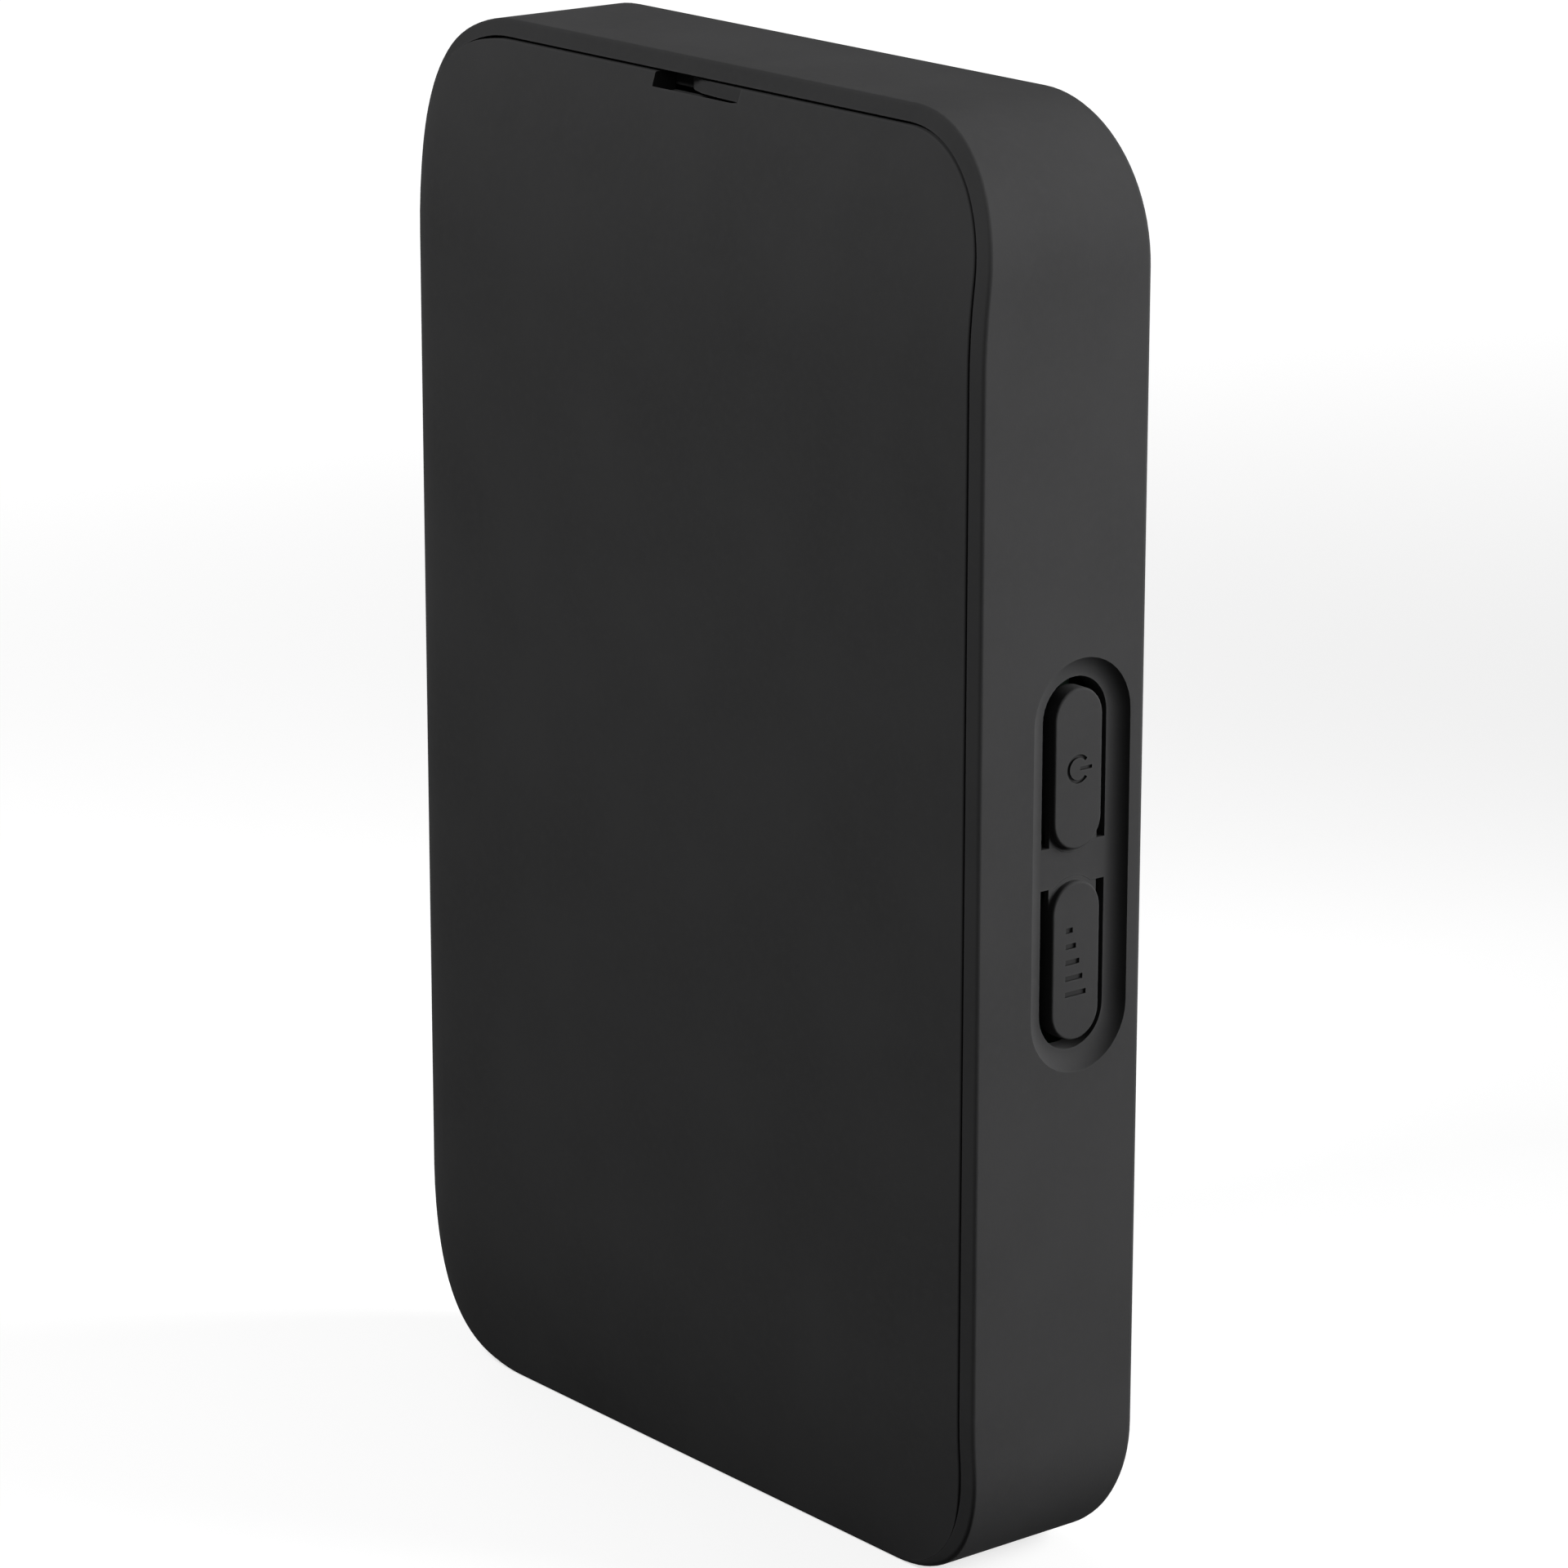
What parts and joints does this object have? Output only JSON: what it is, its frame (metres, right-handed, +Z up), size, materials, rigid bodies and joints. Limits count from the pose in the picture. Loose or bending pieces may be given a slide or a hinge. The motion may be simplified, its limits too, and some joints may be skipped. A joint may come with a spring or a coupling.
{
  "type": "mobile hotspot",
  "caption": "Pocket mobile hotspot: upright rounded slab with a crowned lift-off battery cover set in a rim, a pry notch, and side keys in a chamfered stadium recess.",
  "frame": {"origin": "bottom centre of the bounding box, as it stands on its short side", "axes": "+Z up along the long side, -Y out of the battery cover's face, +X out of the side with the keys"},
  "size_m": [0.064, 0.0142, 0.1],
  "materials": {
    "housing_plastic": "satin black, fine moulded grain",
    "cover_plastic": "satin black, fine moulded grain",
    "key_plastic": "satin black",
    "frame_plastic": "matt dark grey",
    "steel": "bright nickel plate",
    "cell_wrap": "shrink wrap",
    "socket_plastic": "moulded black",
    "gold_plate": "gold flash",
    "board": "solder mask",
    "tin_plate": "tin plate",
    "soft_pad": "soft matt",
    "lamp": "clear resin",
    "smoked_clear": "polished smoked",
    "flex_strip": "polyimide film"
  },
  "bodies": {
    "case": {"main_housing": "housing_plastic", "mid_frame": "frame_plastic", "frame_screw_1": "steel", "frame_screw_2": "steel", "frame_screw_3": "steel", "frame_screw_4": "steel", "contact_block": "socket_plastic", "battery_contact_1": "gold_plate", "battery_contact_2": "gold_plate", "battery_contact_3": "gold_plate", "main_board": "board", "modem_shield": "tin_plate", "radio_shield": "tin_plate", "power_shield": "tin_plate", "thermal_pad": "soft_pad", "sim_socket": "tin_plate", "power_switch": "tin_plate", "network_switch": "tin_plate", "indicator_led_1": "lamp", "indicator_led_2": "lamp", "indicator_led_3": "lamp", "light_bar": "smoked_clear", "usb_shell": "steel", "usb_tongue": "socket_plastic", "main_antenna": "flex_strip", "second_antenna": "flex_strip", "lan_antenna": "flex_strip"},
    "cover": {"battery_cover": "cover_plastic"},
    "battery": {"battery_pack": "cell_wrap"},
    "power_button": {"power_key": "key_plastic"},
    "network_button": {"network_key": "key_plastic"},
    "power_pusher": {"power_plunger": "socket_plastic"},
    "network_pusher": {"network_plunger": "socket_plastic"}
  },
  "joints": [
    {"name": "cover_lift", "type": "slide", "parent": "case", "child": "cover", "axis": [0, -1, 0], "range_m": [0, 0.03]},
    {"name": "battery_lift", "type": "slide", "parent": "case", "child": "battery", "axis": [0, -1, 0], "range_m": [0, 0.015]},
    {"name": "power_press", "type": "hinge", "parent": "case", "child": "power_button", "pos_m": [0.0307, 0.00165, 0.0516], "axis": [0, -1, 0], "range_deg": [0, 3], "stiffness_Nm_per_rad": 0.17},
    {"name": "network_press", "type": "hinge", "parent": "case", "child": "network_button", "pos_m": [0.0307, 0.00165, 0.0494], "axis": [0, 1, 0], "range_deg": [0, 3], "stiffness_Nm_per_rad": 0.17},
    {"name": "power_plunger_slide", "type": "slide", "parent": "case", "child": "power_pusher", "axis": [-1, 0, 0], "range_m": [0, 0.0006]},
    {"name": "network_plunger_slide", "type": "slide", "parent": "case", "child": "network_pusher", "axis": [-1, 0, 0], "range_m": [0, 0.0006]}
  ],
  "couplings": [
    {"joint": "battery_lift", "follows": "cover_lift", "ratio": 0.5},
    {"joint": "power_plunger_slide", "follows": "power_press", "m_per_rad": 0.00545},
    {"joint": "network_plunger_slide", "follows": "network_press", "m_per_rad": 0.00545}
  ]
}
